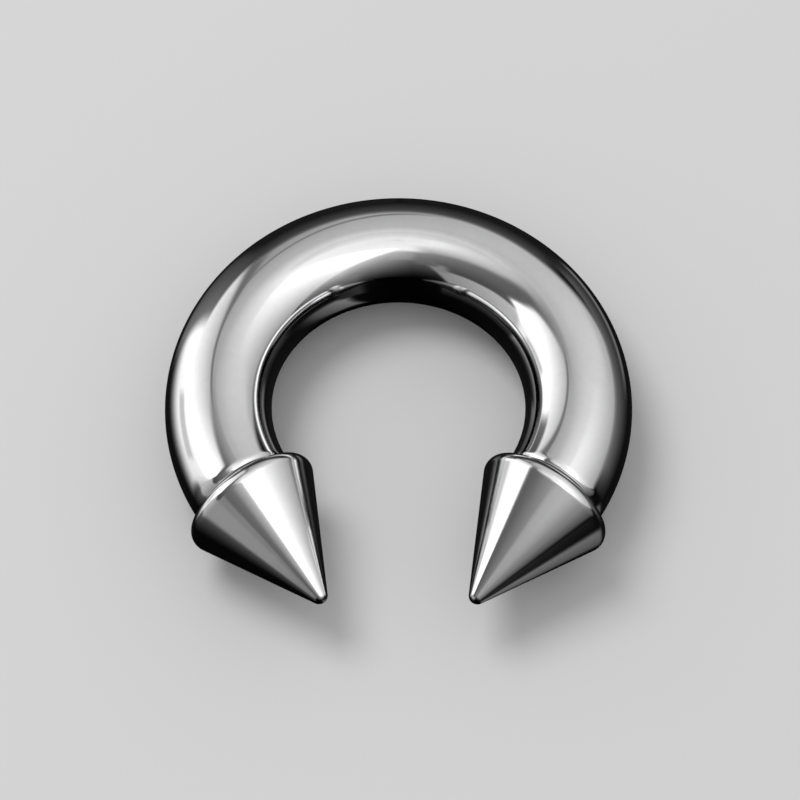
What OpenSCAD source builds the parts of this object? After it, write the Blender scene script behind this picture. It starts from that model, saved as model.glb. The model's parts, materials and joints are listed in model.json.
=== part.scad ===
/* [Bar] */
// Thickness of the round bar
bar_d = 8; // [7:0.25:9]
// Clear width inside the ring, from bar to bar
inner_d = 19; // [16:0.5:26]
// Angle left open between the bar's two ends, seen from the ring's centre
gap_angle = 113; // [104:1:140]
// Bevel of the edges at the bar's ends
end_bevel = 0.35; // [0.1:0.05:0.8]

/* [Spikes] */
// Width of a spike across its rim
spike_d = 10.4; // [9.4:0.1:12]
// Length of a spike from its flat base to its tip
spike_l = 10.5; // [8:0.25:13]
// Radius of a spike's rounded tip
tip_r = 0.65; // [0.4:0.05:1.2]
// Rounding of a spike's rim
rim_r = 0.8; // [0.3:0.05:1.2]

/* [Screw posts] */
// Width of a screw post over its thread
post_d = 4; // [3:0.1:4.6]
// How far a spike moves out in one turn
thread_pitch = 0.7; // [0.5:0.05:0.8]
// Whole turns that a post is screwed into the bar
screw_turns = 7; // [4:1:8]
// Length of a post inside its spike
post_in_spike = 4; // [2:0.1:5]
// Bevel at both ends of a post
post_bevel = 0.35; // [0.1:0.05:0.6]

/* [Clearances] */
// Seam between the bar's end and a spike's base
seam = 0.05; // [0.02:0.01:0.3]
// Clearance all round a post in its bores
post_fit = 0.05; // [0.02:0.01:0.1]
// Room left beyond each end of a post
post_room = 0.3; // [0.1:0.05:0.6]

/* [Hidden] */
$fn = 96;

LEFT = -1;
RIGHT = 1;
STEEL = [0.74, 0.74, 0.75];
POST_STEEL = [0.62, 0.62, 0.64];

bar_r = bar_d / 2;
spike_r = spike_d / 2;
post_r = post_d / 2;
bore_r = post_r + post_fit;

// Radius of the ring's centreline, and the angle from the ring's back to each end
ring_r = inner_d / 2 + bar_r;
end_angle = 180 - gap_angle / 2;

// Heights along an end's axis, counted outwards from the bar's flat end
spike_base_z = seam;
post_start_z = -screw_turns * thread_pitch;
post_end_z = spike_base_z + post_in_spike;

// How far a cut runs on past the surface that it leaves
CUT_PAST = 1;

// Circles that round a spike's outline, as [distance from the axis, height over the base, radius]
rim_circle = [spike_r - rim_r, rim_r, rim_r];
tip_circle = [0, spike_l - tip_r, tip_r];

// The straight flank touches both circles, and this is the way that it faces
flank_rise = [tip_circle[0] - rim_circle[0], tip_circle[1] - rim_circle[1]];
flank_facing = atan2(flank_rise[1], flank_rise[0]) - acos((rim_circle[2] - tip_circle[2]) / norm(flank_rise));

function flank_touch(circle) = [
    circle[0] + circle[2] * cos(flank_facing),
    circle[1] + circle[2] * sin(flank_facing)
];

// The ring lies on the bar's back and on the rims of both spikes, which are wider than the bar, so its front
// is raised. The sine of that tilt is found by putting the lowest point of a rim level with that of the bar.
end_pos_y = ring_r * cos(end_angle);
end_dir_y = -sin(end_angle);
rim_reach = ring_r - end_pos_y - (spike_base_z + rim_r) * end_dir_y;
REST_STEPS = 6;

function rim_lean(tilt_sin) = rim_circle[0] * (1 - sqrt(1 - pow(tilt_sin * end_dir_y, 2)));
function rest_sin(guess, steps) =
    steps == 0 ? guess : rest_sin((spike_r - bar_r - rim_lean(guess)) / rim_reach, steps - 1);

rest_tilt = asin(rest_sin(0, REST_STEPS));
lift_z = ring_r * sin(rest_tilt) + bar_r;

// How far the resting ring reaches back and forward of its own centre, which puts the origin under the middle
back_y = ring_r * cos(rest_tilt) + bar_r;
front_y = (end_pos_y + (spike_base_z + tip_circle[1]) * end_dir_y) * cos(rest_tilt) - tip_r;
shift_y = -(back_y + front_y) / 2;

// Puts a ring drawn flat about the origin where it comes to rest on a table
module at_rest() {
    translate([0, shift_y, lift_z]) rotate([-rest_tilt, 0, 0]) children();
}

// Puts a piece drawn upwards on the bar's flat end, pointing out along the bar
module at_end(side) {
    mirror([side == LEFT ? 1 : 0, 0, 0])
        rotate([0, 0, 90 - end_angle])
            translate([ring_r, 0, 0])
                rotate([90, 0, 0])
                    children();
}

// What the bevel takes off round the bar's flat end
module bevel_ring() {
    rotate_extrude() polygon([
        [bar_r - end_bevel - CUT_PAST, CUT_PAST],
        [bar_r + CUT_PAST, -end_bevel - CUT_PAST],
        [bar_r + CUT_PAST, CUT_PAST]
    ]);
}

// A round hole from one height to another
module bore(from_z, to_z) {
    translate([0, 0, from_z]) cylinder(r = bore_r, h = to_z - from_z);
}

module bar() {
    color(STEEL) at_rest() difference() {
        rotate([0, 0, 90 - end_angle])
            rotate_extrude(angle = 2 * end_angle) translate([ring_r, 0]) circle(bar_r);
        for (side = [LEFT, RIGHT]) at_end(side) {
            bevel_ring();
            bore(post_start_z - post_room, CUT_PAST);
        }
    }
}

// Half of a spike's outline: flat base, rounded rim, straight flank, rounded tip
module spike_outline() {
    intersection() {
        union() {
            polygon([
                [0, 0],
                [rim_circle[0], 0],
                flank_touch(rim_circle),
                flank_touch(tip_circle),
                [0, tip_circle[1]]
            ]);
            for (round_part = [rim_circle, tip_circle])
                translate([round_part[0], round_part[1]]) circle(round_part[2]);
        }
        square([spike_r, spike_l]);
    }
}

module spike(side) {
    color(STEEL) at_rest() at_end(side) difference() {
        translate([0, 0, spike_base_z]) rotate_extrude() spike_outline();
        bore(spike_base_z - seam, post_end_z + post_room);
    }
}

module left_spike() spike(LEFT);
module right_spike() spike(RIGHT);

module post(side) {
    post_l = post_end_z - post_start_z;
    color(POST_STEEL) at_rest() at_end(side) translate([0, 0, post_start_z]) rotate_extrude()
        polygon([
            [0, 0],
            [post_r - post_bevel, 0],
            [post_r, post_bevel],
            [post_r, post_l - post_bevel],
            [post_r - post_bevel, post_l],
            [0, post_l]
        ]);
}

module left_post() post(LEFT);
module right_post() post(RIGHT);

bar();
left_spike();
right_spike();
left_post();
right_post();
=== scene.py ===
"""Looks of a horseshoe barbell with cone spikes, in polished steel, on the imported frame.

The bar, the two spikes and the two screw posts are smooth closed meshes that stand for the frame's nodes.
Each starts as a straight turned solid, as on a lathe. Geometry Nodes then cut the threads and bend the bar
round its ring. Lengths are in metres. Small sizes are written as a number of millimetres times MM.
"""

import json
import logging
import math
from dataclasses import dataclass, field
from enum import Enum
from typing import Any

import bpy
import numpy as np
from mathutils import Euler, Matrix, Vector


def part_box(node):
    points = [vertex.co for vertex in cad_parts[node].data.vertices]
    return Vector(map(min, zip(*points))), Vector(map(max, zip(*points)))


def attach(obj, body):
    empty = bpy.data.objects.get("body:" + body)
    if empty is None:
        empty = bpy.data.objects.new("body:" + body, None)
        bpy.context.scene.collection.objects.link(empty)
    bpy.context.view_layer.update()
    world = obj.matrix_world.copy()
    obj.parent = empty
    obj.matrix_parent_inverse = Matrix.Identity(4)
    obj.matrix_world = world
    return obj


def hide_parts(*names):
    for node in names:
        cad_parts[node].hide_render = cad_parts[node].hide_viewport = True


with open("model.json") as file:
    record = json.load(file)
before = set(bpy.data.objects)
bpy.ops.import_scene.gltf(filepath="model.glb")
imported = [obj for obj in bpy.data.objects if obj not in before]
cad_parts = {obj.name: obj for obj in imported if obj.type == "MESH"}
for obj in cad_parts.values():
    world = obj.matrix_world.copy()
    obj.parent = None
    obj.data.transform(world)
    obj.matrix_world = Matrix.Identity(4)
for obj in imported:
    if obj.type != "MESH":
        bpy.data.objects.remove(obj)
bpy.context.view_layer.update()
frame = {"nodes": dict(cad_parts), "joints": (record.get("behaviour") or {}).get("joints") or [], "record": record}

LOG = logging.getLogger("barbell")
MM = 0.001
WHITE = (1.0, 1.0, 1.0, 1.0)

# Faces that meet at a wider angle than this keep a sharp edge
SHARP_EDGE = math.radians(32)

# A station with a smaller radius than this is on the axis
ON_AXIS = 1e-9


class Side(Enum):
    """The two ends of the ring, seen from the front."""

    LEFT = "left"
    RIGHT = "right"


class Wire:
    """A node's output socket, with arithmetic that adds Math nodes to its tree."""

    def __init__(self, graph: "Graph", socket: bpy.types.NodeSocket) -> None:
        """Wraps a socket.

        Args:
            graph: the tree that new nodes are added to.
            socket: the output socket.
        """
        self.graph = graph
        self.socket = socket

    def out(self, name: str) -> "Wire":
        """Another output of the same node."""
        return Wire(self.graph, self.socket.node.outputs[name])

    def __add__(self, other: Any) -> "Wire":
        """self + other."""
        return self.graph.math("ADD", self, other)

    def __radd__(self, other: Any) -> "Wire":
        """other + self."""
        return self.graph.math("ADD", other, self)

    def __sub__(self, other: Any) -> "Wire":
        """self - other."""
        return self.graph.math("SUBTRACT", self, other)

    def __rsub__(self, other: Any) -> "Wire":
        """other - self."""
        return self.graph.math("SUBTRACT", other, self)

    def __mul__(self, other: Any) -> "Wire":
        """self * other."""
        return self.graph.math("MULTIPLY", self, other)

    def __rmul__(self, other: Any) -> "Wire":
        """other * self."""
        return self.graph.math("MULTIPLY", other, self)

    def __truediv__(self, other: Any) -> "Wire":
        """self / other."""
        return self.graph.math("DIVIDE", self, other)

    def __rtruediv__(self, other: Any) -> "Wire":
        """other / self."""
        return self.graph.math("DIVIDE", other, self)

    def sin(self) -> "Wire":
        """The sine of an angle in radians."""
        return self.graph.math("SINE", self)

    def cos(self) -> "Wire":
        """The cosine of an angle in radians."""
        return self.graph.math("COSINE", self)

    def clamped(self) -> "Wire":
        """The value held between 0 and 1."""
        return self.graph.math("ADD", self, 0.0, clamp=True)


class Graph:
    """A node tree that is built by calls, for shaders and for geometry."""

    # The Mix node repeats its socket names for each kind of data, so its colour sockets go by number
    MIX_SHARE = 0
    MIX_FIRST = 6
    MIX_SECOND = 7
    MIX_RESULT = 2

    def __init__(self, tree: bpy.types.NodeTree) -> None:
        """Empties a tree and takes it over.

        Args:
            tree: the shader or geometry tree.
        """
        self.tree = tree
        tree.nodes.clear()

    def node(self, kind: str, settings: dict[str, Any], inputs: dict[Any, Any], output: Any = 0) -> Wire:
        """Adds any node.

        Args:
            kind: the node's type name.
            settings: its properties, which are set first, and for a colour ramp its "stops".
            inputs: socket name or number, and the wire or value that goes in.
            output: the name or number of the output to return.

        Returns:
            The chosen output's wire, or an empty wire on a node with no output.
        """
        made = self.tree.nodes.new(kind)
        for key, value in settings.items():
            if key == "stops":
                self.set_stops(made.color_ramp, value)
            else:
                setattr(made, key, value)
        for key, value in inputs.items():
            if isinstance(value, Wire):
                self.tree.links.new(value.socket, made.inputs[key])
            else:
                made.inputs[key].default_value = value
        return Wire(self, made.outputs[output] if made.outputs else None)

    @staticmethod
    def set_stops(ramp: bpy.types.ColorRamp, stops: tuple[tuple[float, float], ...]) -> None:
        """Sets a colour ramp's two grey stops, with a soft rise between them.

        Args:
            ramp: the ramp.
            stops: each stop's position and grey value.
        """
        ramp.interpolation = "EASE"
        for element, (position, grey) in zip(ramp.elements, stops):
            element.position = position
            element.color = (grey, grey, grey, 1.0)

    def math(self, operation: str, *values: Any, clamp: bool = False) -> Wire:
        """Adds one Math node.

        Args:
            operation: the Math node's operation.
            values: its inputs in order, as wires or numbers.
            clamp: whether the result is held between 0 and 1.

        Returns:
            The result's wire.
        """
        settings = {"operation": operation, "use_clamp": clamp}
        return self.node("ShaderNodeMath", settings, dict(enumerate(values)))

    def mix(self, share: Any, first: Any, second: Any) -> Wire:
        """Mixes two colours.

        Args:
            share: how much of the second, from 0 to 1.
            first: the colour at 0.
            second: the colour at 1.

        Returns:
            The mixed colour's wire.
        """
        inputs = {self.MIX_SHARE: share, self.MIX_FIRST: first, self.MIX_SECOND: second}
        return self.node("ShaderNodeMix", {"data_type": "RGBA"}, inputs, self.MIX_RESULT)

    def noise(self, place: Wire, size: float, detail: float = 2.0) -> Wire:
        """Adds cloudy noise.

        Args:
            place: the coordinates that it reads, in metres.
            size: the width of its blots.
            detail: how many finer layers it has.

        Returns:
            The noise's wire, between 0 and 1.
        """
        return self.node("ShaderNodeTexNoise", {}, {"Vector": place, "Scale": 1 / size, "Detail": detail})


@dataclass(frozen=True)
class RingFrame:
    """Where the resting ring lies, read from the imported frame.

    The ring's own flat frame has its centre at the origin, the ring's back on +Y and the tilt taken out.
    """

    ring_r: float
    bar_r: float
    end_angle: float
    tilt: float
    centre: Vector

    @classmethod
    def from_frame(cls, record: dict[str, Any], joints: list[dict[str, Any]]) -> "RingFrame":
        """Reads the ring from the record.

        Args:
            record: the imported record, whose mount gives the bar's radius and the back of the bend.
            joints: the joints, whose axes give the ends' directions.

        Returns:
            The ring's frame.
        """
        seat = next(m for m in record["mounts"] if m["name"] == "piercing_seat")
        bar_r = seat["dims"]["r_mm"] * MM
        low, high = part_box("bar")
        ring_r = (high.x - low.x) / 2 - bar_r
        axis = Vector(next(j["axis"] for j in joints if j["name"] == "right_turn"))
        tilt = math.atan2(axis.z, -axis.y)
        end_angle = math.atan2(math.hypot(axis.y, axis.z), axis.x)
        back = Vector((0.0, math.cos(tilt), -math.sin(tilt)))
        return cls(ring_r, bar_r, end_angle, tilt, Vector(seat["pos_m"]) - ring_r * back)

    @property
    def bar_length(self) -> float:
        """The bar's length along its middle."""
        return 2 * self.end_angle * self.ring_r

    @property
    def matrix(self) -> Matrix:
        """Takes a piece from the ring's own flat frame to its resting place."""
        return Matrix.Translation(self.centre) @ Euler((-self.tilt, 0.0, 0.0)).to_matrix().to_4x4()


@dataclass(frozen=True)
class EndFrame:
    """One end of the bar: a point on its flat face and the way it points."""

    side: Side
    origin: Vector
    axis: Vector

    @classmethod
    def from_joints(cls, side: Side, joints: list[dict[str, Any]]) -> "EndFrame":
        """Reads an end from its spike's screw joint.

        Args:
            side: which end.
            joints: the frame's joints.

        Returns:
            The end's frame.
        """
        joint = next(j for j in joints if j["name"] == f"{side.value}_turn")
        return cls(side, Vector(joint["pos_m"]), Vector(joint["axis"]).normalized())

    @property
    def matrix(self) -> Matrix:
        """Takes a piece that is turned about Z, with its seat at the origin, to its place."""
        turn = Vector((0.0, 0.0, 1.0)).rotation_difference(self.axis)
        return Matrix.Translation(self.origin) @ turn.to_matrix().to_4x4()

    def reach(self, node: str) -> tuple[float, float, float]:
        """Measures a frame node along this end's axis.

        Args:
            node: the node's name.

        Returns:
            Its lowest and highest place along the axis, and its greatest distance from it.
        """
        vertices = frame["nodes"][node].data.vertices
        points = np.empty(len(vertices) * 3, np.float32)
        vertices.foreach_get("co", points)
        offsets = points.reshape(-1, 3) - np.array(self.origin)
        along = offsets @ np.array(self.axis)
        out = np.linalg.norm(offsets - np.outer(along, np.array(self.axis)), axis=1)
        return float(along.min()), float(along.max()), float(out.max())


@dataclass
class Turning:
    """A closed solid of revolution about Z, given as stations from one end of its outline to the other.

    Each station has a place along the axis, a radius, a thread weight and a drilled weight. The last is 0 on
    a polished face and 1 on one that is left as cut, whose finish paints it dark as shade, with the sign of the
    end that it is in on the bar.
    """

    steps_round: int = 128
    stations: list[tuple[float, float, float, float]] = field(default_factory=list)

    def add(self, z: float, radius: float, thread: float = 0.0, drilled: float = 0.0) -> None:
        """Adds one station."""
        self.stations.append((z, radius, thread, drilled))

    def line(self, end: tuple[float, float], steps: int, thread: float = 0.0, drilled: float = 0.0,
             fading: bool = False) -> None:
        """Adds stations on a straight run from the last one.

        Args:
            end: place and radius at the run's end.
            steps: how many stations the run adds.
            thread: the thread weight of the run, or of its end where it fades.
            drilled: the drilled weight of the run.
            fading: whether the thread weight changes evenly over the run, from that of the last station.
        """
        z0, r0, thread0, _ = self.stations[-1]
        for k in range(1, steps + 1):
            share = k / steps
            weight = thread0 + (thread - thread0) * share if fading else thread
            self.add(z0 + (end[0] - z0) * share, r0 + (end[1] - r0) * share, weight, drilled)

    def arc(self, centre: tuple[float, float], radius: float, start: float, stop: float, steps: int) -> None:
        """Adds stations on a round stretch.

        Args:
            centre: place and distance from the axis of the round's middle.
            radius: the round's radius.
            start: the angle of its first station, from the axis towards the outside.
            stop: the angle of its last station.
            steps: how many stations follow the first.
        """
        for k in range(steps + 1):
            angle = start + (stop - start) * k / steps
            self.add(centre[0] + radius * math.cos(angle), centre[1] + radius * math.sin(angle))

    def faces(self, rings: int) -> list[tuple[int, ...]]:
        """Joins neighbouring rings of points, and closes the first and last ring on a pole each.

        Args:
            rings: how many rings there are. The two poles come after their points.

        Returns:
            The point numbers of each face, in the order that makes it point outwards.
        """
        n = self.steps_round
        last = (rings - 1) * n
        first_pole, last_pole = rings * n, rings * n + 1
        made: list[tuple[int, ...]] = []
        for low in range(0, last, n):
            high = low + n
            made += [(low + k, low + (k + 1) % n, high + (k + 1) % n, high + k) for k in range(n)]
        made += [(first_pole, (k + 1) % n, k) for k in range(n)]
        made += [(last_pole, last + k, last + (k + 1) % n) for k in range(n)]
        return made

    def mesh(self, name: str) -> bpy.types.Mesh:
        """Turns the outline about Z.

        Args:
            name: the mesh's name.

        Returns:
            A closed mesh. Each point carries its station's two weights and its way along the outline, as the
            attributes "thread", "drilled" and "along".
        """
        rows = np.array(self.stations)
        steps = np.hypot(np.diff(rows[:, 0]), np.diff(rows[:, 1]))
        rows = np.column_stack([rows, np.concatenate([[0.0], np.cumsum(steps)])])
        rings, poles = rows[rows[:, 1] >= ON_AXIS], rows[[0, -1]]
        turns = np.linspace(0.0, 2 * math.pi, self.steps_round, endpoint=False)
        points = np.stack([
            np.outer(rings[:, 1], np.cos(turns)),
            np.outer(rings[:, 1], np.sin(turns)),
            np.repeat(rings[:, :1], self.steps_round, axis=1),
        ], axis=-1).reshape(-1, 3)
        points = np.vstack([points, [(0.0, 0.0, z) for z in poles[:, 0]]])
        mesh = bpy.data.meshes.new(name)
        mesh.from_pydata(points.tolist(), [], self.faces(len(rings)))
        for column, key in enumerate(("thread", "drilled", "along"), start=2):
            values = np.concatenate([np.repeat(rings[:, column], self.steps_round), poles[:, column]])
            mesh.attributes.new(key, "FLOAT", "POINT").data.foreach_set("value", values.astype(np.float32))
        mesh.polygons.foreach_set("use_smooth", [True] * len(mesh.polygons))
        mesh.update()
        return mesh


class ShapeTree:
    """A Geometry Nodes tree with named inputs, which ends in Realize Instances and Set Material."""

    def __init__(self, name: str, inputs: dict[str, str]) -> None:
        """Makes the tree and its inputs.

        Args:
            name: the tree's name.
            inputs: each input's name and socket type.
        """
        self.tree = bpy.data.node_groups.new(name, "GeometryNodeTree")
        self.graph = Graph(self.tree)
        face = self.tree.interface
        face.new_socket("Geometry", in_out="OUTPUT", socket_type="NodeSocketGeometry")
        face.new_socket("Geometry", in_out="INPUT", socket_type="NodeSocketGeometry")
        self.identifiers = {
            key: face.new_socket(key, in_out="INPUT", socket_type=kind).identifier
            for key, kind in {**inputs, "Finish": "NodeSocketMaterial"}.items()
        }
        self.source = self.graph.node("NodeGroupInput", {}, {})

    def attribute(self, name: str) -> Wire:
        """Reads a number that the turned mesh carries at each point."""
        return self.graph.node("GeometryNodeInputNamedAttribute", {"data_type": "FLOAT"}, {"Name": name})

    def position(self) -> tuple[Wire, Wire, Wire]:
        """Reads where each point is.

        Returns:
            The point's x, y and z.
        """
        place = self.graph.node("GeometryNodeInputPosition", {}, {})
        split = self.graph.node("ShaderNodeSeparateXYZ", {}, {"Vector": place})
        return split.out("X"), split.out("Y"), split.out("Z")

    def close(self, x: Wire, y: Wire, z: Wire) -> None:
        """Moves every point and ends the tree.

        Args:
            x: the point's new x.
            y: its new y.
            z: its new z.
        """
        graph = self.graph
        place = graph.node("ShaderNodeCombineXYZ", {}, {"X": x, "Y": y, "Z": z})
        moved = {"Geometry": self.source.out("Geometry"), "Position": place}
        shape = graph.node("GeometryNodeSetPosition", {}, moved)
        real = graph.node("GeometryNodeRealizeInstances", {}, {"Geometry": shape})
        dressed = {"Geometry": real, "Material": self.source.out("Finish")}
        shape = graph.node("GeometryNodeSetMaterial", {}, dressed)
        graph.node("NodeGroupOutput", {}, {"Geometry": shape})

    def attach(self, piece: bpy.types.Object, values: dict[str, Any]) -> None:
        """Adds the tree to an object as a modifier.

        Args:
            piece: the object.
            values: each input's name and value.
        """
        modifier = piece.modifiers.new(self.tree.name, "NODES")
        modifier.node_group = self.tree
        for key, value in values.items():
            modifier[self.identifiers[key]] = value


class ThreadCut(ShapeTree):
    """Cuts a right-hand thread into the points that carry a thread weight.

    A depth over zero cuts outwards, into the wall of a bore, and one under zero cuts inwards, into a post.
    """

    # How much steeper the flanks are than in a thread whose crest and root are sharp
    FLAT_CREST = 0.3

    # Keeps a point on the axis from dividing by zero
    LEAST_RADIUS = 1e-7

    def __init__(self) -> None:
        """Builds the tree."""
        super().__init__("thread_cut", {"Pitch": "NodeSocketFloat", "Depth": "NodeSocketFloat"})
        graph = self.graph
        x, y, z = self.position()
        radius = graph.math("SQRT", x * x + y * y)
        turns = z / self.source.out("Pitch") - graph.math("ARCTAN2", y, x) / (2 * math.pi)
        flank = graph.math("PINGPONG", turns, 0.5) * 2.0
        groove = 1 - ((flank - 0.5) * (1 + self.FLAT_CREST) + 0.5).clamped()
        cut = self.source.out("Depth") * self.attribute("thread") * groove
        grown = (radius + cut) / graph.math("MAXIMUM", radius, self.LEAST_RADIUS)
        self.close(x * grown, y * grown, z)


class RingBend(ShapeTree):
    """Bends a straight bar along Z round the ring, and keeps what is drilled into its ends straight."""

    def __init__(self) -> None:
        """Builds the tree."""
        super().__init__("ring_bend", {"Ring radius": "NodeSocketFloat", "Half length": "NodeSocketFloat"})
        x, y, z = self.position()
        ring, half = self.source.out("Ring radius"), self.source.out("Half length")
        drilled = self.attribute("drilled")
        straight = drilled * drilled
        angle = z / ring * (1 - straight) + drilled * half / ring
        past = (z - drilled * half) * straight
        out = ring + x
        self.close(out * angle.sin() + past * angle.cos(), out * angle.cos() - past * angle.sin(), y)


def baked(piece: bpy.types.Object) -> None:
    """Replaces a piece's mesh and modifiers by the plain mesh that they make.

    Args:
        piece: the object, which keeps its name.
    """
    graph = bpy.context.evaluated_depsgraph_get()
    plain = bpy.data.meshes.new_from_object(piece.evaluated_get(graph), depsgraph=graph)
    plain.name = piece.name
    piece.modifiers.clear()
    piece.data = plain


@dataclass(frozen=True)
class Steel:
    """Surgical steel with its polish, as the tool and the buffing wheel left it.

    The polish is worn dull in clouds with smears over them. Marks are the fine turning marks round the piece,
    hairs are single scratches, and as cut is the satin roughness of the faces that the wheel didn't reach. The
    dark tone of those faces is painted shade, in the bores and on the spike's base where it sits against the bar.
    Haze is what wear adds to the roughness. What marks and hairs add are shares of it, and a hair's depth is a
    share of a mark's.
    """

    name: str
    bright: tuple[float, float, float, float]
    dull: tuple[float, float, float, float]
    roughness: float
    haze: float
    mark_width: float
    mark_depth: float
    wave_depth: float
    wave_size: float = 4.2 * MM
    cloud_size: float = 3.1 * MM
    cloud_share: float = 0.6
    smear_size: float = 0.55 * MM
    smear_detail: float = 4.0
    wear_start: float = 0.35
    wear_gain: float = 1.8
    mark_detail: float = 5.0
    mark_grain: float = 0.6
    mark_haze: float = 0.35
    hair_size: float = 0.05 * MM
    hair_detail: float = 1.0
    hair_stretch: tuple[float, float, float] = (18.0, 1.0, 6.0)
    hair_stops: tuple[tuple[float, float], ...] = ((0.66, 0.0), (0.74, 1.0))
    hair_haze: float = 0.8
    hair_depth: float = 0.5
    # The dark tone of the drilled faces is painted shade, in the bores and on the spike's base against the bar
    as_cut_painted_shade: tuple[float, float, float, float] = (0.20, 0.20, 0.205, 1.0)
    as_cut_roughness: float = 0.42

    def worn(self, graph: Graph, place: Wire) -> Wire:
        """Draws where the polish has gone dull.

        Args:
            graph: the material's tree.
            place: the Object coordinates.

        Returns:
            How dull the polish is, from 0 upwards.
        """
        cloud = graph.noise(place, self.cloud_size)
        smear = graph.noise(place, self.smear_size, self.smear_detail)
        mixed = cloud * self.cloud_share + smear * (1 - self.cloud_share)
        return (mixed - self.wear_start).clamped() * self.wear_gain

    def marks(self, graph: Graph) -> Wire:
        """Draws the turning marks, from the way along the outline that each point carries.

        Args:
            graph: the material's tree.

        Returns:
            The marks' height, from 0 to 1.
        """
        along = graph.node("ShaderNodeAttribute", {"attribute_name": "along"}, {}, "Fac")
        grain = {"Scale": 1.0, "Detail": self.mark_detail, "Roughness": self.mark_grain}
        inputs = {"W": along / self.mark_width, **grain}
        return graph.node("ShaderNodeTexNoise", {"noise_dimensions": "1D"}, inputs)

    def hairs(self, graph: Graph, place: Wire) -> Wire:
        """Draws the hairline scratches.

        Args:
            graph: the material's tree.
            place: the Object coordinates.

        Returns:
            1 in a scratch and 0 beside it.
        """
        inputs = {"Vector": place, "Scale": self.hair_stretch}
        stretched = graph.node("ShaderNodeMapping", {"vector_type": "TEXTURE"}, inputs)
        noise = graph.noise(stretched, self.hair_size, self.hair_detail)
        grey = graph.node("ShaderNodeValToRGB", {"stops": self.hair_stops}, {"Fac": noise})
        return graph.node("ShaderNodeRGBToBW", {}, {"Color": grey})

    def material(self) -> bpy.types.Material:
        """Builds the finish.

        Returns:
            The material, which reads Object coordinates and the piece's own "along" and "drilled" attributes.
        """
        made = bpy.data.materials.new(self.name)
        made.use_nodes = True
        graph = Graph(made.node_tree)
        place = graph.node("ShaderNodeTexCoord", {}, {}, "Object")
        drilled = graph.node("ShaderNodeAttribute", {"attribute_name": "drilled"}, {}, "Fac")
        # Drilled faces get the satin roughness of cut steel and a dark tone that is painted shade
        as_cut_and_shade = (drilled * drilled).clamped()
        worn, marks, hairs = self.worn(graph, place), self.marks(graph), self.hairs(graph, place)
        wave = graph.noise(place, self.wave_size, 0.0)
        mark_haze, hair_haze = self.haze * self.mark_haze, self.haze * self.hair_haze
        rough = self.roughness + worn * self.haze + marks * mark_haze + hairs * hair_haze
        hair_depth = self.mark_depth * self.hair_depth
        height = wave * self.wave_depth + marks * self.mark_depth - hairs * hair_depth
        polish = graph.mix(worn.clamped(), self.bright, self.dull)
        surface = {
            # Painted shade: the bores and the spike's base are darkened in the base colour
            "Base Color": graph.mix(as_cut_and_shade, polish, self.as_cut_painted_shade),
            "Metallic": 1.0,
            "Roughness": (rough * (1 - as_cut_and_shade) + as_cut_and_shade * self.as_cut_roughness).clamped(),
            "Normal": graph.node("ShaderNodeBump", {}, {"Strength": 1.0, "Distance": 1.0, "Height": height}),
        }
        skin = graph.node("ShaderNodeBsdfPrincipled", {}, surface)
        graph.node("ShaderNodeOutputMaterial", {}, {"Surface": skin})
        return made


def new_piece(mesh: bpy.types.Mesh) -> bpy.types.Object:
    """Puts a mesh into the scene as an object at the origin.

    Args:
        mesh: the mesh, whose name the object takes.

    Returns:
        The object.
    """
    piece = bpy.data.objects.new(mesh.name, mesh)
    bpy.context.scene.collection.objects.link(piece)
    return piece


def settle(piece: bpy.types.Object, place: Matrix, node: str) -> None:
    """Puts a finished piece where it belongs and hands it to the frame.

    Args:
        piece: the object, whose modifiers are baked.
        place: takes its mesh to its resting place.
        node: the CAD node that it stands for, whose body has the same name.
    """
    piece.data.transform(place)
    piece.data.set_sharp_from_angle(angle=SHARP_EDGE)
    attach(piece, node)
    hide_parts(node)


@dataclass(frozen=True)
class ScrewThread:
    """The thread that joins a post to its bores."""

    crest_r: float
    pitch: float = 0.7 * MM
    depth: float = 0.38 * MM
    clearance: float = 0.05 * MM
    steps_a_turn: int = 12

    @property
    def bore_r(self) -> float:
        """The radius of the bores that take the post."""
        return self.crest_r + self.clearance

    def steps(self, length: float) -> int:
        """How many stations a threaded run of this length needs."""
        return max(2, round(length / self.pitch * self.steps_a_turn))


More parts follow.
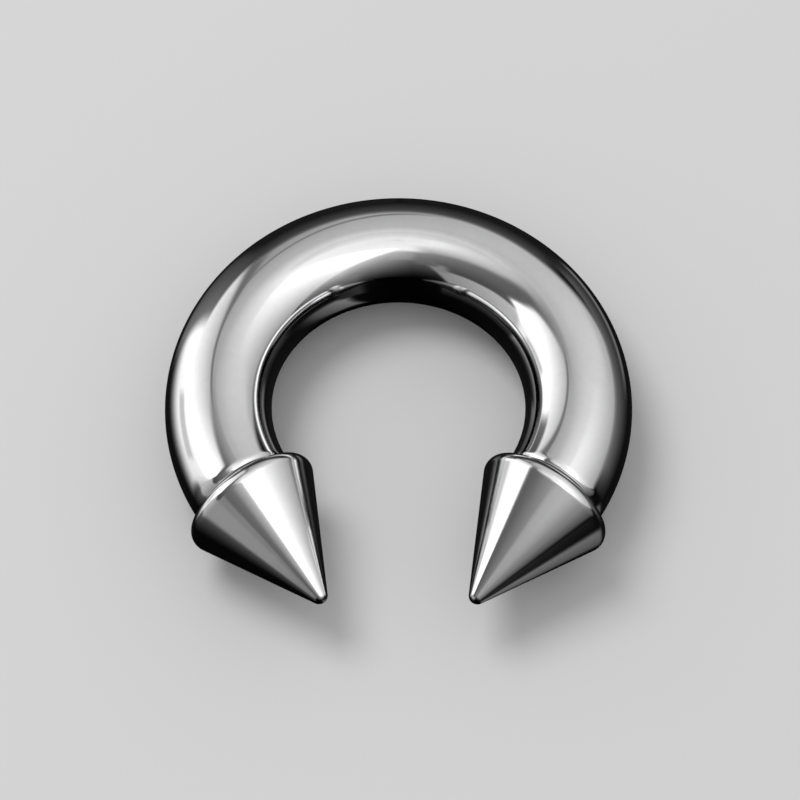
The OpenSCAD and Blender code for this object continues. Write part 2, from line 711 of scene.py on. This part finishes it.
@dataclass
class BarPiece:
    """The round bar, bent to an open ring, with a threaded bore in each flat end."""

    ring: RingFrame
    thread: ScrewThread
    finish: Steel
    end_round: float = 0.9 * MM
    bore_depth: float = 5.2 * MM
    bore_tail: float = 0.25 * MM
    mouth_lip: float = 0.02 * MM
    steps_along: int = 340
    steps_round: int = 128
    round_steps: int = 14
    face_steps: int = 6
    mouth_steps: int = 6
    bottom_steps: int = 4
    run_out_steps: int = 3

    def bore(self, turning: Turning, end: int, inwards: bool) -> None:
        """Adds the stations of one bore, between its bottom and the bar's flat face.

        Args:
            turning: the outline to add to.
            end: -1 for the left end, 1 for the right one.
            inwards: whether the stations go from the face to the bottom.
        """
        thread, half = self.thread, self.ring.bar_length / 2
        wall, mouth = thread.bore_r, thread.bore_r + thread.depth
        tail = self.bore_depth - self.bore_tail
        full_thread = tail - self.bore_tail
        hole = Turning()
        hole.add(self.bore_depth, 0.0)
        hole.line((self.bore_depth, wall), self.bottom_steps)
        hole.line((tail, wall), 1)
        hole.line((full_thread, wall), self.run_out_steps, 1.0, fading=True)
        hole.line((thread.depth, wall), thread.steps(full_thread - thread.depth), 1.0)
        hole.line((0.0, mouth), self.mouth_steps, fading=True)
        for depth, radius, weight, _ in reversed(hole.stations) if inwards else hole.stations:
            # The drilled weight keeps the bore straight in the bend, and the finish paints the bore dark as shade
            turning.add(end * (half - depth), radius, weight, end)

    def outline(self) -> Turning:
        """Draws the straight bar from the bottom of the left bore to that of the right one.

        Returns:
            The outline, with the bar's middle at the origin.
        """
        turning = Turning(self.steps_round)
        half, rim, bar_r = self.ring.bar_length / 2, self.end_round, self.ring.bar_r
        mouth = self.thread.bore_r + self.thread.depth + self.mouth_lip
        steps, one_step = self.round_steps, 1 / self.round_steps
        self.bore(turning, -1, inwards=False)
        turning.line((-half, bar_r - rim), self.face_steps)
        turning.arc((-half + rim, bar_r - rim), rim, math.pi * (1 - one_step / 2), math.pi / 2, steps)
        turning.line((half - rim, bar_r), self.steps_along)
        turning.arc((half - rim, bar_r - rim), rim, math.pi / 2 * (1 - one_step), 0.0, steps)
        turning.line((half, mouth), self.face_steps)
        self.bore(turning, 1, inwards=True)
        return turning

    def build(self, thread_cut: ThreadCut, ring_bend: RingBend) -> bpy.types.Object:
        """Turns, threads and bends the bar.

        Args:
            thread_cut: the tree that cuts threads.
            ring_bend: the tree that bends the bar.

        Returns:
            The bar's object.
        """
        material = self.finish.material()
        piece = new_piece(self.outline().mesh("polished_bar"))
        cut = {"Pitch": self.thread.pitch, "Depth": self.thread.depth, "Finish": material}
        thread_cut.attach(piece, cut)
        bend = {"Ring radius": self.ring.ring_r, "Half length": self.ring.bar_length / 2, "Finish": material}
        ring_bend.attach(piece, bend)
        baked(piece)
        settle(piece, self.ring.matrix, "bar")
        return piece


@dataclass
class SpikePiece:
    """A cone spike: flat base, rounded rim, straight flank, rounded tip and a bore for its post."""

    end: EndFrame
    thread: ScrewThread
    finish: Steel
    rim_round: float = 0.8 * MM
    tip_round: float = 0.65 * MM
    bore_room: float = 0.3 * MM
    steps_round: int = 192
    round_steps: int = 18
    flank_steps: int = 40
    base_steps: int = 8
    wall_steps: int = 24
    bottom_steps: int = 4
    rim_start: float = 0.99
    flank_edge: float = 0.01

    def outline(self, post_top: float) -> Turning:
        """Draws the outline from the bottom of the bore round to the tip.

        Args:
            post_top: how far the post reaches into the spike, from the bar's flat face.

        Returns:
            The outline, on the spike's own axis.
        """
        base, tip, out = self.end.reach(f"{self.end.side.value}_spike")
        bottom = post_top + self.bore_room
        rim_z, rim_x = base + self.rim_round, out - self.rim_round
        tip_z = tip - self.tip_round
        slope = math.atan2(tip_z - rim_z, -rim_x)
        meet = math.acos((self.rim_round - self.tip_round) / math.hypot(rim_x, tip_z - rim_z))
        facing = math.pi / 2 - (slope - meet)
        turning = Turning(self.steps_round)
        # The bore and the base face are marked drilled, so the finish paints them dark as shade
        turning.add(bottom, 0.0, drilled=1.0)
        turning.line((bottom, self.thread.bore_r), self.bottom_steps, drilled=1.0)
        turning.line((base, self.thread.bore_r), self.wall_steps, drilled=1.0)
        turning.line((base, rim_x), self.base_steps, drilled=1.0)
        turning.arc((rim_z, rim_x), self.rim_round, math.pi * self.rim_start, facing, self.round_steps)
        meet_z = tip_z + self.tip_round * math.cos(facing)
        meet_x = self.tip_round * math.sin(facing)
        z0, x0 = turning.stations[-1][:2]
        for share, steps in ((self.flank_edge, 1), (1 - self.flank_edge, self.flank_steps), (1.0, 1)):
            turning.line((z0 + (meet_z - z0) * share, x0 + (meet_x - x0) * share), steps)
        turning.arc((tip_z, 0.0), self.tip_round, facing * (1 - 1 / self.round_steps), 0.0, self.round_steps)
        return turning

    def build(self, post_top: float) -> bpy.types.Object:
        """Turns the spike and puts it on its end of the bar.

        Args:
            post_top: how far the post reaches into the spike.

        Returns:
            The spike's object.
        """
        side = self.end.side.value
        piece = new_piece(self.outline(post_top).mesh(f"cone_spike_{side}"))
        piece.data.materials.append(self.finish.material())
        settle(piece, self.end.matrix, f"{side}_spike")
        return piece


@dataclass
class PostPiece:
    """A screw post: a threaded pin with bevelled ends, half in the bar and half in its spike."""

    end: EndFrame
    thread: ScrewThread
    finish: Steel
    bevel: float = 0.35 * MM
    steps_round: int = 96
    face_steps: int = 4
    face_edge: float = 0.1

    def outline(self) -> Turning:
        """Draws the outline from the post's inner end to its outer one.

        Returns:
            The outline, on the post's own axis.
        """
        low, high, _ = self.end.reach(f"{self.end.side.value}_post")
        thread, bevel = self.thread, self.bevel
        crest, tip = thread.crest_r, thread.crest_r - bevel
        at_tip = (thread.depth - bevel) / thread.depth
        bevel_steps = thread.steps(bevel)
        turning = Turning(self.steps_round)
        turning.add(low, 0.0)
        turning.line((low, tip * (1 - self.face_edge)), self.face_steps)
        turning.add(low, tip, at_tip)
        turning.line((low + bevel, crest), bevel_steps, 1.0, fading=True)
        turning.line((high - bevel, crest), thread.steps(high - low - 2 * bevel), 1.0)
        turning.line((high, tip), bevel_steps, at_tip, fading=True)
        turning.line((high, tip * self.face_edge), self.face_steps)
        turning.add(high, 0.0)
        return turning

    def build(self, thread_cut: ThreadCut) -> bpy.types.Object:
        """Turns and threads the post.

        Args:
            thread_cut: the tree that cuts threads.

        Returns:
            The post's object.
        """
        side = self.end.side.value
        piece = new_piece(self.outline().mesh(f"screw_post_{side}"))
        cut = {"Pitch": self.thread.pitch, "Depth": -self.thread.depth, "Finish": self.finish.material()}
        thread_cut.attach(piece, cut)
        baked(piece)
        settle(piece, self.end.matrix, f"{side}_post")
        return piece


def smooth_step(past: np.ndarray, width: float) -> np.ndarray:
    """A soft step from 0 to 1 across an edge.

    Args:
        past: how far each point lies past the edge.
        width: the width of the step.

    Returns:
        The step's height at each point.
    """
    share = np.clip(past / width + 0.5, 0.0, 1.0)
    return share * share * (3.0 - 2.0 * share)


@dataclass(frozen=True)
class TentPanel:
    """One lit or dark stretch of the light tent, between two azimuths and two elevations in degrees.

    Azimuth counts from the front towards the right. Levels are the brightness in the picture at the corners:
    start low, end low, start high and end high. Soft is the width of the four edges, in the order start, end,
    low and high. Lean is how far the start and end edges move for each degree above the panel's middle.
    """

    name: str
    start: float
    end: float
    low: float
    high: float
    levels: tuple[float, float, float, float]
    soft: tuple[float, float, float, float]
    lean: tuple[float, float] = (0.0, 0.0)

    def over(self, below: np.ndarray, azimuth: np.ndarray, elevation: np.ndarray) -> np.ndarray:
        """Lays the panel over those before it.

        Args:
            below: the level so far at each point.
            azimuth: each point's azimuth.
            elevation: each point's elevation.

        Returns:
            The level with this panel.
        """
        middle = (self.start + self.end) / 2
        across = (azimuth - middle + 180.0) % 360.0 - 180.0 + middle
        above = elevation - (self.low + self.high) / 2
        soft_start, soft_end, soft_low, soft_high = self.soft
        mask = smooth_step(elevation - self.low, soft_low) * smooth_step(self.high - elevation, soft_high)
        if self.end - self.start < 360.0:
            mask *= smooth_step(across - self.start - self.lean[0] * above, soft_start)
            mask *= smooth_step(self.end + self.lean[1] * above - across, soft_end)
        side = np.clip((across - self.start) / (self.end - self.start), 0.0, 1.0)
        height = np.clip((elevation - self.low) / (self.high - self.low), 0.0, 1.0)
        start_low, end_low, start_high, end_high = self.levels
        bottom = start_low + (end_low - start_low) * side
        top = start_high + (end_high - start_high) * side
        return below + (bottom + (top - bottom) * height - below) * mask


@dataclass(frozen=True)
class LightTent:
    """A round light tent, seen only in the steel: diffuser panels with dark gaps, over a dark table."""

    panels: tuple[TentPanel, ...]
    dark: float = 0.03
    gain: float = 1.25
    radius: float = 150 * MM
    around: int = 480
    display_gamma: float = 2.2

    def build(self, centre: Vector) -> None:
        """Makes the tent.

        Args:
            centre: the ring's centre.
        """
        steps = self.around // 2
        shell = Turning(self.around)
        shell.add(-self.radius, 0.0)
        shell.arc((0.0, 0.0), self.radius, math.pi * (1 - 1 / steps), math.pi / steps, steps - 2)
        shell.add(self.radius, 0.0)
        mesh = shell.mesh("light_tent")
        points = np.empty(len(mesh.vertices) * 3, np.float32)
        mesh.vertices.foreach_get("co", points)
        power = self.power(points.reshape(-1, 3).astype(float) / self.radius)
        mesh.attributes.new("power", "FLOAT", "POINT").data.foreach_set("value", power.astype(np.float32))
        mesh.transform(Matrix.Translation(centre))
        mesh.materials.append(self.glow())
        tent = new_piece(mesh)
        tent.visible_camera = False
        tent.visible_diffuse = False
        tent.visible_transmission = False
        tent.visible_shadow = False

    def power(self, ways: np.ndarray) -> np.ndarray:
        """Works out how bright the tent is in each direction.

        Args:
            ways: unit vectors from the ring's centre.

        Returns:
            The light's strength.
        """
        azimuth = np.degrees(np.arctan2(ways[:, 0], -ways[:, 1]))
        elevation = np.degrees(np.arcsin(np.clip(ways[:, 2], -1.0, 1.0)))
        level = np.full(len(ways), self.dark)
        for panel in self.panels:
            level = panel.over(level, azimuth, elevation)
        return level ** self.display_gamma * self.gain

    def glow(self) -> bpy.types.Material:
        """Makes the tent's light.

        Returns:
            A material that glows as strongly as the mesh's "power" attribute says.
        """
        made = bpy.data.materials.new("light_tent")
        made.use_nodes = True
        graph = Graph(made.node_tree)
        power = graph.node("ShaderNodeAttribute", {"attribute_name": "power"}, {}, "Fac")
        lamp = graph.node("ShaderNodeEmission", {}, {"Color": WHITE, "Strength": power})
        graph.node("ShaderNodeOutputMaterial", {}, {"Surface": lamp})
        made.cycles.emission_sampling = "NONE"
        return made


def towards(azimuth: float, elevation: float) -> Vector:
    """The way from the ring to a lamp or camera.

    Args:
        azimuth: degrees round from the front, towards the right.
        elevation: degrees above the floor.

    Returns:
        A unit vector.
    """
    a, e = math.radians(azimuth), math.radians(elevation)
    return Vector((math.sin(a) * math.cos(e), -math.cos(a) * math.cos(e), math.sin(e)))


@dataclass(frozen=True)
class PhotoCamera:
    """The camera, as fitted to the object's outline in the photograph. Lens and sensor are in millimetres."""

    azimuth: float = 0.1
    elevation: float = 64.95
    distance: float = 290.8 * MM
    lens: float = 174.6
    sensor: float = 36.0
    near_clip: float = 10 * MM
    aim_right: float = 0.108 * MM
    aim_up: float = 0.438 * MM

    def build(self, centre: Vector) -> None:
        """Makes the camera and sets it as the scene's.

        Args:
            centre: the ring's centre.
        """
        back = towards(self.azimuth, self.elevation)
        turn = back.to_track_quat("Z", "Y")
        aim = centre + turn @ Vector((self.aim_right, self.aim_up, 0.0))
        camera = bpy.data.cameras.new("photo_camera")
        camera.sensor_width = self.sensor
        camera.lens = self.lens
        camera.clip_start = self.near_clip
        made = bpy.data.objects.new("photo_camera", camera)
        made.matrix_world = Matrix.Translation(aim + back * self.distance) @ turn.to_matrix().to_4x4()
        bpy.context.scene.collection.objects.link(made)
        bpy.context.scene.camera = made


@dataclass(frozen=True)
class Studio:
    """Plain pale floor, soft light, light tent and camera."""

    tent: LightTent
    camera: PhotoCamera = PhotoCamera()
    floor_size: float = 4.0
    floor_tone: float = 0.62
    floor_roughness: float = 0.5
    surroundings: float = 0.7
    key_place: tuple[float, float, float] = (-0.25, 0.2, 0.6)
    key_size: float = 0.35
    key_power: float = 2.0

    def floor(self) -> None:
        """Makes the floor, which the steel doesn't mirror."""
        half = self.floor_size / 2
        mesh = bpy.data.meshes.new("floor")
        corners = [(-half, -half, 0.0), (half, -half, 0.0), (half, half, 0.0), (-half, half, 0.0)]
        mesh.from_pydata(corners, [], [(0, 1, 2, 3)])
        made = bpy.data.materials.new("pale_floor")
        made.use_nodes = True
        graph = Graph(made.node_tree)
        tone = (self.floor_tone, self.floor_tone, self.floor_tone, 1.0)
        matt = {"Base Color": tone, "Roughness": self.floor_roughness, "Specular IOR Level": 0.0}
        skin = graph.node("ShaderNodeBsdfPrincipled", {}, matt)
        graph.node("ShaderNodeOutputMaterial", {}, {"Surface": skin})
        mesh.materials.append(made)
        floor = new_piece(mesh)
        floor.visible_glossy = False

    def world(self) -> None:
        """Makes the even light around the scene."""
        world = bpy.data.worlds.new("studio")
        bpy.context.scene.world = world
        world.use_nodes = True
        graph = Graph(world.node_tree)
        sky = graph.node("ShaderNodeBackground", {}, {"Color": WHITE, "Strength": self.surroundings})
        graph.node("ShaderNodeOutputWorld", {}, {"Surface": sky})

    def key(self, centre: Vector) -> None:
        """Makes the soft lamp that draws the shadow on the floor.

        Args:
            centre: the ring's centre.
        """
        light = bpy.data.lights.new("key_lamp", "AREA")
        light.shape = "DISK"
        light.size = self.key_size
        light.energy = self.key_power
        lamp = bpy.data.objects.new("key_lamp", light)
        place = centre + Vector(self.key_place)
        turn = (place - centre).to_track_quat("Z", "Y").to_matrix().to_4x4()
        lamp.matrix_world = Matrix.Translation(place) @ turn
        lamp.visible_glossy = False
        bpy.context.scene.collection.objects.link(lamp)

    def build(self, centre: Vector) -> None:
        """Sets the studio up.

        Args:
            centre: the ring's centre.
        """
        self.floor()
        self.world()
        self.key(centre)
        self.tent.build(centre)
        self.camera.build(centre)


BAR_FINISH = Steel(
    name="mirror_polished_bar",
    bright=(0.82, 0.82, 0.825, 1.0),
    dull=(0.74, 0.74, 0.75, 1.0),
    roughness=0.05,
    haze=0.05,
    mark_width=0.12 * MM,
    mark_depth=0.00001 * MM,
    wave_depth=0.002 * MM,
)
SPIKE_FINISH = Steel(
    name="mirror_polished_spike",
    bright=(0.82, 0.82, 0.825, 1.0),
    dull=(0.74, 0.74, 0.75, 1.0),
    roughness=0.09,
    haze=0.05,
    mark_width=0.06 * MM,
    mark_depth=0.00003 * MM,
    wave_depth=0.0,
)
POST_FINISH = Steel(
    name="cut_thread_post",
    bright=(0.62, 0.62, 0.63, 1.0),
    dull=(0.45, 0.45, 0.46, 1.0),
    roughness=0.24,
    haze=0.16,
    mark_width=0.03 * MM,
    mark_depth=0.0004 * MM,
    wave_depth=0.0,
)

TENT_PANELS = (
    TentPanel("table_left", -180.0, -10.0, -72.0, 2.0,
              (0.12, 0.02, 0.13, 0.05), (1.0, 40.0, 14.0, 8.0)),
    TentPanel("table_right", 10.0, 180.0, -72.0, 2.0,
              (0.04, 0.12, 0.06, 0.12), (30.0, 1.0, 14.0, 8.0)),
    TentPanel("table_glow", 36.0, 72.0, -74.0, -28.0,
              (0.38, 0.26, 0.50, 0.24), (10.0, 22.0, 14.0, 12.0)),
    TentPanel("table_foot", 24.0, 42.0, -34.0, 2.0,
              (0.20, 0.14, 0.22, 0.12), (8.0, 8.0, 8.0, 6.0)),
    TentPanel("sky", -180.0, 180.0, -2.0, 66.0,
              (0.00, 0.00, 0.54, 0.54), (1.0, 1.0, 6.0, 1.0)),
    TentPanel("sky_mid", 20.0, 66.0, 2.0, 66.0,
              (0.24, 0.30, 1.20, 1.20), (8.0, 8.0, 6.0, 2.0)),
    TentPanel("sky_right", -10.0, 36.0, 2.0, 66.0,
              (0.03, 0.22, 0.54, 1.15), (10.0, 8.0, 6.0, 2.0)),
    TentPanel("table_front_left", -88.0, -29.0, -34.0, 2.0,
              (0.05, 0.04, 0.42, 0.30), (16.0, 3.0, 8.0, 6.0)),
    TentPanel("table_side", 84.0, 150.0, -36.0, 6.0,
              (0.07, 0.06, 0.44, 0.34), (16.0, 12.0, 8.0, 6.0)),
    TentPanel("table_edge_right", 118.0, 150.0, -28.0, -19.0,
              (0.36, 0.44, 0.36, 0.44), (12.0, 4.0, 5.0, 5.0)),
    TentPanel("table_back", 150.0, 216.0, -12.0, 20.0,
              (0.11, 0.10, 0.30, 0.28), (8.0, 10.0, 6.0, 4.0)),
    TentPanel("ceiling", -180.0, 180.0, 65.0, 90.0,
              (0.98, 0.98, 0.90, 0.90), (1.0, 1.0, 8.0, 1.0)),
    TentPanel("ceiling_left", -194.0, -20.0, 61.0, 82.0,
              (0.68, 0.48, 0.88, 0.95), (30.0, 24.0, 4.0, 8.0)),
    TentPanel("ceiling_back", 130.0, 215.0, 56.0, 84.0,
              (0.72, 0.60, 0.90, 0.86), (30.0, 20.0, 6.0, 10.0)),
    TentPanel("left_patch", -86.0, -28.5, -1.0, 33.0,
              (0.70, 0.50, 0.74, 0.54), (1.0, 3.0, 8.0, 5.0), (0.0, 0.36)),
    TentPanel("right_wall", 39.0, 172.0, 5.0, 70.0,
              (0.56, 0.66, 1.30, 0.84), (6.0, 16.0, 9.0, 6.0), (-1.15, 1.2)),
    TentPanel("gap_right", 26.0, 66.0, 2.0, 21.0,
              (0.27, 0.30, 0.50, 0.54), (10.0, 12.0, 8.0, 8.0), (0.0, -1.1)),
    TentPanel("back_wall", 124.0, 206.0, 21.0, 60.0,
              (0.80, 0.55, 0.86, 0.64), (20.0, 2.0, 11.0, 10.0)),
    TentPanel("back_high", 118.0, 215.0, 57.0, 69.0,
              (0.88, 0.56, 0.94, 0.72), (12.0, 16.0, 6.0, 5.0)),
    TentPanel("back_seam", -172.5, -164.5, 26.0, 43.0,
              (0.44, 0.44, 0.50, 0.50), (4.0, 4.0, 4.0, 4.0), (1.7, 1.7)),
    TentPanel("left_grey", -153.0, -128.0, -34.0, 17.0,
              (0.20, 0.42, 0.26, 0.55), (6.0, 8.0, 12.0, 6.0)),
    TentPanel("left_box_low", -133.5, -85.0, -18.0, 28.0,
              (1.00, 0.86, 1.10, 0.95), (8.0, 4.0, 36.0, 6.0), (-0.2, 0.0)),
    TentPanel("left_box", -152.0, -82.0, 18.0, 56.0,
              (0.86, 1.30, 0.64, 1.15), (8.0, 9.0, 8.0, 6.0), (0.0, 0.4)),
    TentPanel("streak", -114.0, -93.0, 0.0, 11.0,
              (0.76, 0.76, 0.76, 0.76), (4.0, 3.0, 4.0, 3.0)),
    TentPanel("seam", -157.0, -152.0, 24.0, 48.0,
              (0.40, 0.40, 0.42, 0.42), (3.0, 3.0, 6.0, 6.0)),
    TentPanel("seam_top", -154.5, -148.5, 46.0, 58.0,
              (0.44, 0.44, 0.44, 0.44), (4.0, 4.0, 6.0, 4.0), (0.5, 0.5)),
    TentPanel("gap_top", -162.0, -100.0, 57.0, 65.0,
              (0.60, 0.28, 0.62, 0.40), (10.0, 10.0, 4.0, 8.0)),
    TentPanel("gap", -95.0, -24.0, 33.0, 65.0,
              (0.28, 0.25, 0.38, 0.50), (13.0, 20.0, 7.0, 8.0), (-2.1, 0.0)),
    TentPanel("left_patch_high", -33.0, -21.0, 28.0, 43.0,
              (0.48, 0.48, 0.52, 0.52), (8.0, 5.0, 6.0, 8.0), (0.0, 0.36)),
    TentPanel("sky_front", -13.0, 6.0, 46.0, 62.0,
              (0.46, 0.60, 0.60, 0.72), (6.0, 6.0, 6.0, 4.0)),
    TentPanel("sky_front_low", -27.0, -11.0, 38.0, 54.0,
              (0.36, 0.37, 0.42, 0.45), (4.0, 6.0, 4.0, 6.0)),
)


def main() -> None:
    """Builds every piece and the studio."""
    logging.basicConfig(level=logging.INFO, format="%(name)s: %(message)s")
    joints = frame["joints"]
    ring = RingFrame.from_frame(frame["record"], joints)
    ends = [EndFrame.from_joints(side, joints) for side in Side]
    thread_cut, ring_bend = ThreadCut(), RingBend()
    _, post_top, post_r = ends[0].reach(f"{ends[0].side.value}_post")
    thread = ScrewThread(crest_r=post_r)
    pieces = [BarPiece(ring, thread, BAR_FINISH).build(thread_cut, ring_bend)]
    for end in ends:
        pieces.append(SpikePiece(end, thread, SPIKE_FINISH).build(post_top))
        pieces.append(PostPiece(end, thread, POST_FINISH).build(thread_cut))
    for piece in pieces:
        LOG.info("%s: %d faces", piece.name, len(piece.data.polygons))
    Studio(LightTent(TENT_PANELS)).build(ring.centre)
    bpy.context.scene.view_settings.view_transform = "Standard"


if __name__ == "__main__":
    main()
